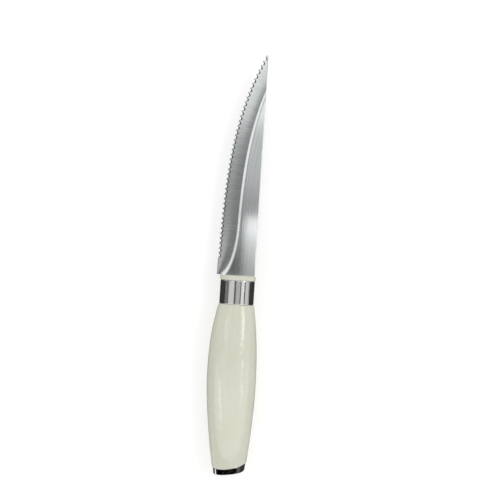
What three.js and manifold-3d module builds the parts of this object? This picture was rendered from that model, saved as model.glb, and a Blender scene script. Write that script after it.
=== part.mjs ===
// A serrated kitchen knife: a ground and serrated steel blade whose tang is gripped inside a hollow
// moulded handle, with a moulded collar and a steel ferrule in front and a pressed steel cap behind.
// Millimetres. The knife lies on its side: +Y points to the tip, +X to the back of the blade, +Z up.
import * as THREE from 'three';
import { mergeVertices } from 'three/addons/utils/BufferGeometryUtils.js';
import Module from 'manifold-3d';

const wasm = await Module();
wasm.setup();

// Blade
const BLADE_LENGTH = 124.2;
const HEEL_WIDTH = 21.3;
const BLADE_THICKNESS = 1.5;
const EDGE_THICKNESS = 0.3;
const BACK_CHAMFER = 0.25;
const BACK_INSET = 0.5;
const TIP_WIDTH = 0.9;
const EDGE_TAPER = 2.6;
const SWEEP_POWER = 3.4;

// Hollow-ground bevel, measured square to the cutting edge. It runs out in a plunge curve at the heel.
const BEVEL_AT_HEEL = 11.3;
const BEVEL_AT_TIP = 9;
const BEVEL_HOLLOW = 0.1;
const PLUNGE_LENGTH = 28;
const PLUNGE_UNDER_COLLAR = 4;

// Serrations, ground from one face by a round wheel held at an angle to the blade.
const PLAIN_HEEL = 8.9;
const TOOTH_PITCH = 2.78;
const GAP_WIDTH = 2.15;
const TOOTH_DEPTH = 0.95;
const WHEEL_TILT = THREE.MathUtils.degToRad(19);
const WHEEL_TRAVEL = 9;
const WHEEL_OVERLAP = 0.3;

// Tang
const TANG_WIDTH = 9;
const TANG_REACH = 58;
const TANG_HOLE_DIAMETER = 4.2;
const TANG_HOLE_FROM_END = 10;
const TANG_HOLE_SPACING = 26;

// Collar in front of the ferrule
const COLLAR_LENGTH = 2.6;
const COLLAR_PROUD = 0.4;
const COLLAR_ROUND = 0.6;
const COLLAR_SPIGOT = 4;

// Ferrule, an oval tube
const FERRULE_LENGTH = 13.4;
const FERRULE_WIDTH = 19.5;
const FERRULE_THICKNESS = 16.6;
const FERRULE_WALL = 0.8;
const FERRULE_LIP = 0.25;

// Handle. Each side of its outline runs from the ferrule to the butt and swells out between them.
const HANDLE_LENGTH = 89.85;
const HANDLE_PROUD = 0.3;
const HANDLE_FRONT_ROUND = 0.4;
const HANDLE_END_ROUND = 0.5;
const EDGE_SIDE = { rear: 8.2, swellFront: 5.7, swellRear: 3.5 };
const BACK_SIDE = { rear: 11.4, swellFront: 3.5, swellRear: 2.4 };
const FLAT_SIDE = { rear: 8.4, swellFront: 4.2, swellRear: 2.2 };
const BUTT_SLANT = THREE.MathUtils.degToRad(11);
const BUTT_BOW = 0.9;
const BORE_WIDTH = 13.4;
const BORE_THICKNESS = 10.4;

// Tang grips, two moulded halves inside the handle
const GRIP_PAST_TANG = 6;
const PEG_DEPTH = 2.4;

// End cap and the plug that carries it
const CAP_HEIGHT = 4.45;
const CAP_SLANT = THREE.MathUtils.degToRad(9);
const CAP_INSET = 0.4;
const CAP_DRAFT = 0.4;
const CAP_WALL = 0.6;
const CAP_CORNER = 1.4;
const CAP_CROWN = 0.4;
const PLUG_LENGTH = 13;

// Fits
const FIT = 0.25;
const SEAT = 0.3;

// Fineness of the facets
const OVAL_POWER = 2.25;
const OVAL_POINTS = 40;
const HANDLE_STATIONS = 26;
const BLADE_STATIONS = 48;
const BEVEL_STEPS = 3;
const ARC_STEPS = 4;
const TOOTH_STEPS = 8;

// Places from the axis and the front face of the ferrule. The blade's back is just inside its side.
const BACK_X = FERRULE_WIDTH / 2 - BACK_INSET;
const HEEL_Y = COLLAR_LENGTH + SEAT;
const TANG_END_Y = -TANG_REACH;
const SPIGOT_Y = -COLLAR_SPIGOT;
const SHOULDER_Y = -FERRULE_LENGTH;

const STEEL_GROUND = new THREE.MeshStandardMaterial({ color: 0xb9bec1, roughness: 0.28, metalness: 1 });
const STEEL_POLISHED = new THREE.MeshStandardMaterial({ color: 0xd2d4d3, roughness: 0.08, metalness: 1 });
const PLASTIC_IVORY = new THREE.MeshStandardMaterial({ color: 0xdedccb, roughness: 0.25, metalness: 0 });
const PLASTIC_CORE = new THREE.MeshStandardMaterial({ color: 0xcfcdc4, roughness: 0.6, metalness: 0 });

// A closed three.js geometry as a solid that can be cut and joined.
function toSolid(geometry) {
  const bare = geometry.clone();
  bare.deleteAttribute('normal');
  bare.deleteAttribute('uv');
  const merged = mergeVertices(bare, 1e-4);
  return new wasm.Manifold(new wasm.Mesh({
    numProp: 3,
    vertProperties: merged.attributes.position.array,
    triVerts: new Uint32Array(merged.index.array),
  }));
}

function toGeometry(solid) {
  const mesh = solid.getMesh();
  const geometry = new THREE.BufferGeometry();
  geometry.setAttribute('position', new THREE.BufferAttribute(mesh.vertProperties, 3));
  geometry.setIndex(new THREE.BufferAttribute(mesh.triVerts, 1));
  geometry.computeVertexNormals();
  return geometry;
}

function signedVolume(points, index) {
  let volume = 0;
  for (let i = 0; i < index.length; i += 3) {
    const [a, b, c] = [points[index[i]], points[index[i + 1]], points[index[i + 2]]];
    volume += a.dot(new THREE.Vector3().crossVectors(b, c)) / 6;
  }
  return volume;
}

// A skin over a row of rings with the same number of points. A ring-shaped piece joins its last
// ring to its first; any other piece is closed by a fan of triangles over each end ring.
function loft(rings, ringShaped = false) {
  const count = rings[0].length;
  const points = rings.flat();
  const index = [];
  const bands = ringShaped ? rings.length : rings.length - 1;
  for (let band = 0; band < bands; band += 1) {
    const near = band * count;
    const far = ((band + 1) % rings.length) * count;
    for (let i = 0; i < count; i += 1) {
      const j = (i + 1) % count;
      index.push(near + i, near + j, far + j, near + i, far + j, far + i);
    }
  }
  if (!ringShaped) {
    const ends = [[rings[0], 0, true], [rings.at(-1), points.length - count, false]];
    for (const [ring, first, turned] of ends) {
      const middle = ring.reduce((sum, p) => sum.add(p), new THREE.Vector3()).divideScalar(count);
      const hub = points.push(middle) - 1;
      for (let i = 0; i < count; i += 1) {
        const pair = [first + i, first + (i + 1) % count];
        index.push(hub, ...(turned ? pair.reverse() : pair));
      }
    }
  }
  if (signedVolume(points, index) < 0) index.reverse();
  const geometry = new THREE.BufferGeometry().setFromPoints(points);
  geometry.setIndex(index);
  geometry.computeVertexNormals();
  return geometry;
}

// One oval section across the knife, slightly squarer than an ellipse. A tilted section leans about Z,
// and a bowed one runs further back on its two flat sides.
function oval({ x = 0, y, halfWidth, halfThickness, tilt = 0, bow = 0 }) {
  const bulge = (value) => Math.sign(value) * Math.abs(value) ** (2 / OVAL_POWER);
  return Array.from({ length: OVAL_POINTS }, (_, i) => {
    const angle = (2 * Math.PI * i) / OVAL_POINTS;
    const across = halfWidth * bulge(Math.cos(angle));
    const up = bulge(Math.sin(angle));
    return new THREE.Vector3(
      x + across * Math.cos(tilt),
      y + across * Math.sin(tilt) - bow * up ** 2,
      halfThickness * up,
    );
  });
}

// Steps round a quarter of a corner: how far in from the side, and how far short of the end.
function corner(radius) {
  return Array.from({ length: ARC_STEPS + 1 }, (_, i) => {
    const angle = (Math.PI / 2) * (i / ARC_STEPS);
    return { inset: radius * (1 - Math.cos(angle)), short: radius * (1 - Math.sin(angle)) };
  });
}

// The cutting edge seen from the side: a straight taper from the heel, plus a sweep that grows towards
// the tip until it meets the back there.
class CuttingEdge extends THREE.Curve {
  getPoint(t, target = new THREE.Vector3()) {
    const sweep = HEEL_WIDTH - EDGE_TAPER - TIP_WIDTH;
    const width = HEEL_WIDTH - EDGE_TAPER * t - sweep * t ** SWEEP_POWER;
    return target.set(BACK_X - width, HEEL_Y + BLADE_LENGTH * t, 0);
  }
}

const edge = new CuttingEdge();
edge.arcLengthDivisions = 400;
const EDGE_LENGTH = edge.getLength();

function bevelHeight(along) {
  const height = THREE.MathUtils.lerp(BEVEL_AT_HEEL, BEVEL_AT_TIP, along / EDGE_LENGTH);
  const toPlunge = Math.max(0, PLUNGE_LENGTH - along) / (PLUNGE_LENGTH + PLUNGE_UNDER_COLLAR);
  return height * Math.sqrt(1 - toPlunge ** 2);
}

function halfThicknessAt(along, fromEdge) {
  const ground = Math.min(1, fromEdge / bevelHeight(along));
  const hollow = 4 * BEVEL_HOLLOW * ground * (1 - ground);
  return THREE.MathUtils.lerp(EDGE_THICKNESS, BLADE_THICKNESS, ground) / 2 - hollow;
}

// A frame on the edge: the point, the direction along the edge and the direction square to it.
function edgeFrame(along) {
  const share = Math.min(1, along / EDGE_LENGTH);
  const tangent = edge.getTangentAt(share);
  return { point: edge.getPointAt(share), tangent, inward: new THREE.Vector3(tangent.y, -tangent.x, 0) };
}

// The blade's section square to the edge: edge land, bevel, flat, and a chamfered back.
function bladeSection(along) {
  const { point, inward } = edgeFrame(along);
  const width = (BACK_X - point.x) / inward.x;
  const chamfer = Math.min(BACK_CHAMFER, width / 4, halfThicknessAt(along, width) / 2);
  const flatEnd = width - chamfer;
  const bevelEnd = Math.min(bevelHeight(along), flatEnd - chamfer);
  const bevel = Array.from({ length: BEVEL_STEPS + 1 }, (_, i) => (bevelEnd * i) / BEVEL_STEPS);
  const upper = [...bevel, flatEnd].map((fromEdge) => [fromEdge, halfThicknessAt(along, fromEdge)]);
  upper.push([width, halfThicknessAt(along, flatEnd) - chamfer]);
  const lower = upper.map(([fromEdge, z]) => [fromEdge, -z]).reverse();
  const place = ([fromEdge, z]) => point.clone().addScaledVector(inward, fromEdge).setZ(z);
  return [...upper, ...lower].map(place);
}

// The grinding wheel's shape for one tooth gap. Its arc sinks to the lower face at the bottom of the
// gap and is as wide as the gap on the edge line, which leaves a narrow tooth between two gaps.
function toothWheel(along) {
  const { point, tangent, inward } = edgeFrame(along);
  const rise = TOOTH_DEPTH * Math.sin(WHEEL_TILT);
  const radius = ((GAP_WIDTH / 2) ** 2 + rise ** 2) / (2 * rise);
  const span = Math.asin(Math.min(1, (TOOTH_PITCH / 2 + WHEEL_OVERLAP) / radius));
  const profile = new THREE.Shape();
  profile.absarc(0, radius, radius, -Math.PI / 2 - span, -Math.PI / 2 + span);
  profile.lineTo(radius * Math.sin(span), radius);
  profile.lineTo(-radius * Math.sin(span), radius);
  const wheel = new THREE.ExtrudeGeometry(profile, {
    depth: WHEEL_TRAVEL, bevelEnabled: false, curveSegments: TOOTH_STEPS,
  });
  wheel.translate(0, 0, -WHEEL_TRAVEL / 2);
  const up = new THREE.Vector3(0, 0, 1);
  const travel = inward.clone().multiplyScalar(Math.cos(WHEEL_TILT));
  travel.addScaledVector(up, Math.sin(WHEEL_TILT));
  const lift = new THREE.Vector3().crossVectors(travel, tangent);
  const bottom = point.clone().addScaledVector(inward, TOOTH_DEPTH);
  bottom.z = -halfThicknessAt(along, TOOTH_DEPTH);
  wheel.applyMatrix4(new THREE.Matrix4().makeBasis(tangent, lift, travel).setPosition(bottom));
  return wheel;
}

const tangHoles = [0, 1].map((i) => TANG_END_Y + TANG_HOLE_FROM_END + i * TANG_HOLE_SPACING);

// The tang's outline from the blade to its rounded end, grown by a clearance where it makes a pocket.
function tangOutline(clearance, holes) {
  const half = TANG_WIDTH / 2 + clearance;
  const outline = new THREE.Shape();
  outline.moveTo(half, HEEL_Y + TANG_WIDTH / 2);
  outline.lineTo(-half, HEEL_Y + TANG_WIDTH / 2);
  outline.lineTo(-half, TANG_END_Y + TANG_WIDTH / 2);
  outline.absarc(0, TANG_END_Y + TANG_WIDTH / 2, half, Math.PI, 2 * Math.PI);
  for (const y of holes) {
    const hole = new THREE.Path();
    hole.absarc(0, y, TANG_HOLE_DIAMETER / 2, 0, 2 * Math.PI, true);
    outline.holes.push(hole);
  }
  return outline;
}

function slab(outline, thickness) {
  const geometry = new THREE.ExtrudeGeometry(outline, { depth: thickness, bevelEnabled: false });
  return geometry.translate(0, 0, -thickness / 2);
}

// The ground strip is cut square at the heel, then toothed, and the tang goes on.
function makeBlade() {
  const stations = Array.from({ length: BLADE_STATIONS + 1 }, (_, i) => (EDGE_LENGTH * i) / BLADE_STATIONS);
  const strip = toSolid(loft(stations.map(bladeSection)));
  let blade = strip.trimByPlane([0, 1, 0], HEEL_Y);
  const teeth = Math.floor((EDGE_LENGTH - PLAIN_HEEL) / TOOTH_PITCH);
  for (let i = 0; i < teeth; i += 1) {
    blade = blade.subtract(toSolid(toothWheel(PLAIN_HEEL + (i + 0.5) * TOOTH_PITCH)));
  }
  return toGeometry(blade.add(toSolid(slab(tangOutline(0, tangHoles), BLADE_THICKNESS))));
}

// Half sizes that the stacked pieces share
const ferruleOuter = { halfWidth: FERRULE_WIDTH / 2, halfThickness: FERRULE_THICKNESS / 2 };
const ferruleInner = grown(ferruleOuter, -FERRULE_WALL);
const bore = { halfWidth: BORE_WIDTH / 2, halfThickness: BORE_THICKNESS / 2 };

function grown({ halfWidth, halfThickness }, by) {
  return { halfWidth: halfWidth + by, halfThickness: halfThickness + by };
}

function makeCollar() {
  const flange = grown(ferruleOuter, COLLAR_PROUD);
  const spigot = grown(ferruleInner, -FIT);
  const nose = corner(COLLAR_ROUND).map(({ inset, short }) => (
    oval({ y: COLLAR_LENGTH - short, ...grown(flange, -inset) })
  ));
  const body = loft([
    oval({ y: SPIGOT_Y, ...spigot }),
    oval({ y: 0, ...spigot }),
    oval({ y: 0, ...flange }),
    ...nose,
  ]);
  const slot = slab(tangOutline(FIT, []), BLADE_THICKNESS + 2 * FIT);
  return toGeometry(toSolid(body).subtract(toSolid(slot)));
}

function makeFerrule() {
  const eased = grown(ferruleOuter, -FERRULE_LIP);
  return loft([
    oval({ y: 0, ...eased }),
    oval({ y: -FERRULE_LIP, ...ferruleOuter }),
    oval({ y: SHOULDER_Y + FERRULE_LIP, ...ferruleOuter }),
    oval({ y: SHOULDER_Y, ...eased }),
    oval({ y: SHOULDER_Y, ...ferruleInner }),
    oval({ y: 0, ...ferruleInner }),
  ], true);
}

// Distance of one side of the handle from the axis, a share of the way from the ferrule to the butt.
function sideAt(front, side, share) {
  const swell = THREE.MathUtils.lerp(side.swellFront, side.swellRear, share);
  return THREE.MathUtils.lerp(front, side.rear, share) + 4 * share * (1 - share) * swell;
}

function handleSection(share) {
  const front = grown(ferruleOuter, HANDLE_PROUD);
  const edgeSide = sideAt(front.halfWidth, EDGE_SIDE, share);
  const backSide = sideAt(front.halfWidth, BACK_SIDE, share);
  return {
    x: (backSide - edgeSide) / 2,
    y: SHOULDER_Y - HANDLE_LENGTH * share,
    halfWidth: (backSide + edgeSide) / 2,
    halfThickness: sideAt(front.halfThickness, FLAT_SIDE, share),
    tilt: BUTT_SLANT * share ** 2,
    bow: BUTT_BOW * share ** 2,
  };
}

// A section at a distance behind the butt. It starts like the butt, slanted and bowed, and at the end
// of the cap it is less slanted and not bowed.
const butt = handleSection(1);
function behindButt(distance, half) {
  const share = THREE.MathUtils.clamp(distance / CAP_HEIGHT, 0, 1);
  return {
    x: butt.x,
    y: butt.y - distance,
    tilt: THREE.MathUtils.lerp(BUTT_SLANT, CAP_SLANT, share),
    bow: BUTT_BOW * (1 - share),
    ...half,
  };
}

// A straight oval along the axis, cut off like the butt at a distance behind it.
function shaftEnd({ halfWidth, halfThickness }, distance) {
  return {
    y: butt.y - butt.x * Math.tan(BUTT_SLANT) - distance,
    tilt: BUTT_SLANT,
    bow: BUTT_BOW,
    halfWidth: halfWidth / Math.cos(BUTT_SLANT),
    halfThickness,
  };
}

function makeHandle() {
  const neck = grown(ferruleInner, -FIT);
  const neckY = SPIGOT_Y - SEAT;
  const front = handleSection(0);
  const lastShare = 1 - HANDLE_END_ROUND / HANDLE_LENGTH;
  const shares = Array.from({ length: HANDLE_STATIONS }, (_, i) => (lastShare * (i + 1)) / HANDLE_STATIONS);
  const end = { halfWidth: butt.halfWidth, halfThickness: butt.halfThickness };
  return loft([
    oval({ y: neckY, ...neck }),
    oval({ y: SHOULDER_Y, ...neck }),
    oval({ ...front, ...grown(front, -HANDLE_FRONT_ROUND) }),
    oval({ ...front, y: SHOULDER_Y - HANDLE_FRONT_ROUND }),
    ...shares.map((share) => oval(handleSection(share))),
    ...corner(HANDLE_END_ROUND).slice(1)
      .map(({ inset, short }) => oval(behindButt(-short, grown(end, -inset)))),
    oval(shaftEnd(bore, 0)),
    oval({ y: neckY, ...bore }),
  ], true);
}

// Each grip is half of an oval bar with a pocket for the tang.
function gripHalf(side) {
  const bar = grown(bore, -FIT);
  const whole = toSolid(loft([
    oval({ y: SPIGOT_Y - SEAT, ...bar }),
    oval({ y: TANG_END_Y - GRIP_PAST_TANG, ...bar }),
  ]));
  const keep = new THREE.BoxGeometry(BORE_WIDTH, 2 * (TANG_REACH + GRIP_PAST_TANG), BORE_THICKNESS);
  keep.translate(0, 0, side * (BORE_THICKNESS + FIT) / 2);
  const pocket = toSolid(slab(tangOutline(FIT, []), BLADE_THICKNESS + 2 * FIT));
  return whole.intersect(toSolid(keep)).subtract(pocket);
}

// A round peg through one hole of the tang, from the upper grip down into the lower one.
function peg(y, clearance) {
  const depth = BLADE_THICKNESS / 2 + PEG_DEPTH + clearance;
  const radius = TANG_HOLE_DIAMETER / 2 - FIT + clearance;
  const root = BLADE_THICKNESS / 2 + 2 * FIT;
  const shape = new THREE.CylinderGeometry(radius, radius, depth + root, OVAL_POINTS / 2);
  shape.rotateX(Math.PI / 2);
  return toSolid(shape.translate(0, y, (root - depth) / 2));
}

function makeUpperGrip() {
  return toGeometry(tangHoles.reduce((grip, y) => grip.add(peg(y, 0)), gripHalf(1)));
}

function makeLowerGrip() {
  return toGeometry(tangHoles.reduce((grip, y) => grip.subtract(peg(y, FIT)), gripHalf(-1)));
}

const capOuter = grown(butt, -CAP_INSET);
const capInner = grown(capOuter, -CAP_WALL);

// A pressed cup that narrows a little, with a rounded corner, the same wall all round and a crowned end.
function makeEndCap() {
  const end = grown(capOuter, -CAP_DRAFT - CAP_CORNER);
  const rim = corner(CAP_CORNER).map(({ inset, short }) => (
    oval(behindButt(CAP_HEIGHT - short, grown(capOuter, -CAP_DRAFT - inset)))
  ));
  const crown = Array.from({ length: ARC_STEPS - 1 }, (_, i) => {
    const left = 1 - (i + 1) / ARC_STEPS;
    const half = { halfWidth: end.halfWidth * left, halfThickness: end.halfThickness * left };
    return oval(behindButt(CAP_HEIGHT + CAP_CROWN * (1 - left ** 2), half));
  });
  const inside = corner(CAP_CORNER - CAP_WALL).reverse().map(({ inset, short }) => (
    oval(behindButt(CAP_HEIGHT - CAP_WALL - short, grown(capInner, -CAP_DRAFT - inset)))
  ));
  return loft([
    ...inside,
    oval(behindButt(SEAT, capInner)),
    oval(behindButt(SEAT, capOuter)),
    ...rim,
    ...crown,
  ]);
}

// The plug's flange fills the cap and its shank sits in the handle's bore.
function makePlug() {
  const shank = grown(bore, -FIT);
  const flange = grown(capInner, -FIT);
  return loft([
    oval(shaftEnd(shank, -PLUG_LENGTH)),
    oval(shaftEnd(shank, SEAT)),
    oval(behindButt(SEAT, flange)),
    oval(behindButt(CAP_HEIGHT - CAP_WALL - SEAT, grown(flange, -CAP_DRAFT))),
  ]);
}

function piece(name, geometry, material) {
  const mesh = new THREE.Mesh(geometry, material);
  mesh.name = name;
  return mesh;
}

const knife = new THREE.Group();
knife.add(
  piece('blade', makeBlade(), STEEL_GROUND),
  piece('front_collar', makeCollar(), PLASTIC_IVORY),
  piece('ferrule', makeFerrule(), STEEL_POLISHED),
  piece('handle', makeHandle(), PLASTIC_IVORY),
  piece('tang_grip_upper', makeUpperGrip(), PLASTIC_CORE),
  piece('tang_grip_lower', makeLowerGrip(), PLASTIC_CORE),
  piece('end_cap', makeEndCap(), STEEL_POLISHED),
  piece('cap_plug', makePlug(), PLASTIC_CORE),
);

// The origin lies under the middle of the knife, on the surface that it rests on.
const box = new THREE.Box3().setFromObject(knife, true);
const middle = box.getCenter(new THREE.Vector3());
knife.position.set(-middle.x, -middle.y, -box.min.z);

export default knife;
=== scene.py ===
# %% [markdown]
# # A serrated kitchen knife
# The knife has a ground steel blade with small teeth, a moulded ivory collar, a polished steel
# ferrule, a moulded ivory handle and a polished steel cap on the slanted butt. A CAD model of it
# is the fixed frame: it gives every place and size, and this lesson puts finer surfaces and real
# finishes on it. The pieces that show are worked out again here as smooth grids of points, and
# the pieces inside the handle keep their CAD meshes.

import math

import bpy
import numpy as np
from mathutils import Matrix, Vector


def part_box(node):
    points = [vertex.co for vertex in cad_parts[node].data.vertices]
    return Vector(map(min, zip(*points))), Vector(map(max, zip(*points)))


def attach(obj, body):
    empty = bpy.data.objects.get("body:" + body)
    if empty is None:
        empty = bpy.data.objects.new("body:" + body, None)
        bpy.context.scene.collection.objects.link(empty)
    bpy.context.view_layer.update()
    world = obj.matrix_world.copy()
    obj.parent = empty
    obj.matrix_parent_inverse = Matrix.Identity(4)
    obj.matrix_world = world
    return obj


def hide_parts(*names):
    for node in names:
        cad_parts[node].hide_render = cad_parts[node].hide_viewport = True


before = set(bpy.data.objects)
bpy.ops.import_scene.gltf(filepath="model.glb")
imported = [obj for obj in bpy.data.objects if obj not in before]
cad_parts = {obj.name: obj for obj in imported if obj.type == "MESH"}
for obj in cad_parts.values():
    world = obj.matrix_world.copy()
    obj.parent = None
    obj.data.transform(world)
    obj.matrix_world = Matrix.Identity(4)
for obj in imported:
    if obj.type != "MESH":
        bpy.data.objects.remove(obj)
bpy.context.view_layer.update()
print("CAD nodes:", ", ".join(sorted(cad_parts)))

# %% [markdown]
# ## One origin for all shapes
# A knife is easiest to describe from its own axis, so every shape below is in millimetres from the
# middle of the ferrule's front face: +X to the back of the blade, +Y to the tip, +Z up out of the
# flat. The ferrule's box in the frame says where that point is, so nothing has to be fitted by eye.

# %% Origin and sizes from the frame
MM = 0.001
ferrule_low, ferrule_high = (np.array(corner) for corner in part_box("ferrule"))
ORIGIN = (ferrule_low + ferrule_high) / 2
ORIGIN[1] = ferrule_high[1]


def corners_of(node):
    """Lowest and highest corner of a CAD node, in millimetres from the knife's origin."""
    return [(np.array(corner) - ORIGIN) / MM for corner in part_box(node)]


FERRULE_HALF = corners_of("ferrule")[1][[0, 2]]
FERRULE_LENGTH = -corners_of("ferrule")[0][1]
print("ferrule half sizes:", FERRULE_HALF.round(2), "length:", round(FERRULE_LENGTH, 2))

# %% [markdown]
# ## A skin over rings
# Every piece of this knife is long and closed, so each is a stack of rings with the same number of
# points, joined ring to ring. Extruding a curve would also give that, but a grid lets one formula
# set each point. An open stack is closed by a fan at each end, and a tube joins its last ring to
# its first. The sign of the volume tells which way the faces look, so they always end up outwards.


# %% The skin
def skin(name, rings, ring_shaped=False, crease_deg=25):
    """Makes a closed mesh from rings, an array of ring by point by xyz, in millimetres.

    Face i of a band joins points i and i + 1 of one ring to the same points of the next ring.
    The volume is a sixth of the sum of a . (b x c) over the triangles, positive if they look out.
    """
    count, around = rings.shape[:2]
    index = np.arange(count * around).reshape(count, around)
    rows = np.vstack([index, index[:1]]) if ring_shaped else index
    near, far = rows[:-1], rows[1:]
    quads = np.stack([near, np.roll(near, -1, 1), np.roll(far, -1, 1), far], -1).reshape(-1, 4)
    points = rings.reshape(-1, 3)
    fans = np.empty((0, 3), int)
    if not ring_shaped:
        points = np.vstack([points, rings[0].mean(0), rings[-1].mean(0)])
        hub = np.full(around, count * around)
        first = np.stack([np.roll(index[0], -1), index[0], hub], -1)
        last = np.stack([index[-1], np.roll(index[-1], -1), hub + 1], -1)
        fans = np.vstack([first, last])
    triangles = np.vstack([quads[:, :3], quads[:, [0, 2, 3]], fans])
    a, b, c = (points[triangles[:, k]] for k in range(3))
    if np.einsum("ij,ij->i", a, np.cross(b, c)).sum() < 0:
        quads, fans = quads[:, ::-1], fans[:, ::-1]
    mesh = bpy.data.meshes.new(name)
    mesh.from_pydata((points * MM + ORIGIN).tolist(), [], quads.tolist() + fans.tolist())
    mesh.shade_smooth()
    mesh.set_sharp_from_angle(angle=math.radians(crease_deg))
    piece = bpy.data.objects.new(name, mesh)
    bpy.context.scene.collection.objects.link(piece)
    print(f"{name}: {len(mesh.vertices)} points, {len(triangles)} triangles")
    return piece


# %% [markdown]
# ## The cutting edge
# The edge tapers gently from the heel and then sweeps up to meet the straight back at the tip.
# Drawing it as a curve object would work, but the teeth are spaced along its true length, so it is
# sampled finely here and measured. At any length along it we then know the point and the direction
# square to it, and the whole blade is laid out in those two directions.

# %% Edge curve
# The CAD model leaves this much room where one piece stops against another.
SEAT = 0.3
COLLAR_FRONT = corners_of("front_collar")[1][1]
HEEL_Y = COLLAR_FRONT + SEAT
BLADE_LOW, BLADE_HIGH = corners_of("blade")
BACK_X = BLADE_HIGH[0]
HEEL_WIDTH = BLADE_HIGH[0] - BLADE_LOW[0]
TIP_WIDTH = 0.9
EDGE_TAPER = 2.6
SWEEP_POWER = 3.4
EDGE_SAMPLES = 4001

sweep = np.linspace(0, 1, EDGE_SAMPLES)
sweep_width = HEEL_WIDTH - EDGE_TAPER - TIP_WIDTH
edge_width = HEEL_WIDTH - EDGE_TAPER * sweep - sweep_width * sweep**SWEEP_POWER
edge_points = np.stack([BACK_X - edge_width, HEEL_Y + (BLADE_HIGH[1] - HEEL_Y) * sweep], -1)
edge_steps = np.linalg.norm(np.diff(edge_points, axis=0), axis=1)
edge_run = np.concatenate([[0], np.cumsum(edge_steps)])
edge_course = np.gradient(edge_points, edge_run, axis=0)
EDGE_LENGTH = edge_run[-1]


def on_edge(along):
    """The edge's point and its inward direction (course turned right) at lengths along it."""
    point = np.stack([np.interp(along, edge_run, edge_points[:, k]) for k in range(2)], -1)
    course = np.stack([np.interp(along, edge_run, edge_course[:, k]) for k in range(2)], -1)
    course /= np.linalg.norm(course, axis=1, keepdims=True)
    return point, np.stack([course[:, 1], -course[:, 0]], -1)


print("length of the cutting edge:", round(EDGE_LENGTH, 2), "mm")

# %% [markdown]
# ## The ground section
# Both faces are hollow ground: a wheel thins the strip from a line halfway up down to the edge, and
# leaves a small steep shoulder where it stops, which is the bright line on the blade. Towards the
# heel the wheel lifts off, so that line plunges down to the edge. A bevel modifier can't follow such
# a line, so the thickness is written as a function of two lengths, along the edge and in from it.

# %% Thickness of the blade
BLADE_THICKNESS = BLADE_HIGH[2] - BLADE_LOW[2]
EDGE_THICKNESS = 0.3
BEVEL_AT_HEEL = 11.3
BEVEL_AT_TIP = 10.2
PLUNGE_LENGTH = 28
PLUNGE_UNDER_COLLAR = 4
HOLLOW = 0.09
SHOULDER_LENGTH = 1.9
SHOULDER_RISE = 0.3


def bevel_height(along):
    """Height of the ground line: a slow taper to the tip, times a quarter circle at the heel."""
    height = BEVEL_AT_HEEL + (BEVEL_AT_TIP - BEVEL_AT_HEEL) * along / EDGE_LENGTH
    to_plunge = np.maximum(0, PLUNGE_LENGTH - along) / (PLUNGE_LENGTH + PLUNGE_UNDER_COLLAR)
    return height * np.sqrt(1 - to_plunge**2)


def half_thickness(along, from_edge):
    """Half the thickness: a straight rise less a parabola for the hollow, then the shoulder.

    The shoulder is a cubic that leaves the bevel with its slope and meets the flat level.
    """
    line = bevel_height(along)
    foot = line - SHOULDER_LENGTH
    low = EDGE_THICKNESS / 2
    high = BLADE_THICKNESS / 2
    step = high - SHOULDER_RISE
    share = np.clip(from_edge / foot, 0, 1)
    bevel = low + (step - low) * share - 4 * HOLLOW * share * (1 - share)
    slope = (step - low + 4 * HOLLOW) / foot * SHOULDER_LENGTH
    u = np.clip((from_edge - foot) / SHOULDER_LENGTH, 0, 1)
    shoulder = (2 * u**3 - 3 * u**2) * (step - high) + (u**3 - 2 * u**2 + u) * slope
    return np.where(u > 0, step + shoulder, bevel)


print("bevel at the heel, a third along and the tip:",
      bevel_height(np.array([0, EDGE_LENGTH / 3, EDGE_LENGTH])).round(2))

# %% [markdown]
# ## The teeth
# The teeth are ground from one face only, by a round wheel tilted to the blade. Each pass sinks to
# the far face and leaves a scallop, and between two scallops a narrow tooth stands. Cutting some
# forty cylinders with booleans would leave ragged shading, so the wheel's surface is written as a
# height and the blade's face is the lower of the two. The columns of the grid fall on each tooth's
# tip and the rows on each scallop's border, so every ridge is crisp.

# %% Wheel surface
PLAIN_HEEL = 8.9
TOOTH_PITCH = 2.78
GAP_WIDTH = 2.15
TOOTH_DEPTH = 0.95
WHEEL_TILT = math.radians(19)
EDGE_LAND = 0.03
HEEL_COLUMNS = 44
GAP_COLUMNS = 16
TIP_COLUMNS = 13
SOLVER_STEPS = 40
SOLVER_PACE = 0.8

TEETH = int((EDGE_LENGTH - PLAIN_HEEL) // TOOTH_PITCH)
WHEEL_RISE = TOOTH_DEPTH * math.sin(WHEEL_TILT)
WHEEL_RADIUS = ((GAP_WIDTH / 2) ** 2 + WHEEL_RISE**2) / (2 * WHEEL_RISE)

tooth_starts = PLAIN_HEEL + TOOTH_PITCH * np.arange(TEETH)
half_tip = (TOOTH_PITCH - GAP_WIDTH) / 2
tooth_columns = np.concatenate([
    [0, half_tip / 2],
    np.linspace(half_tip, TOOTH_PITCH - half_tip, GAP_COLUMNS),
    [TOOTH_PITCH - half_tip / 2],
])
columns = np.concatenate([
    np.linspace(0, PLAIN_HEEL, HEEL_COLUMNS, endpoint=False),
    np.add.outer(tooth_starts, tooth_columns).ravel(),
    np.linspace(tooth_starts[-1] + TOOTH_PITCH, EDGE_LENGTH, TIP_COLUMNS),
])
gap_number = np.clip((columns - PLAIN_HEEL) // TOOTH_PITCH, 0, TEETH - 1)
gap_middle = PLAIN_HEEL + (gap_number + 0.5) * TOOTH_PITCH
off_middle = np.minimum(np.abs(columns - gap_middle), WHEEL_RADIUS)
arc_rise = WHEEL_RADIUS - np.sqrt(WHEEL_RADIUS**2 - off_middle**2)
gap_bottom = -half_thickness(gap_middle, TOOTH_DEPTH)


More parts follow.
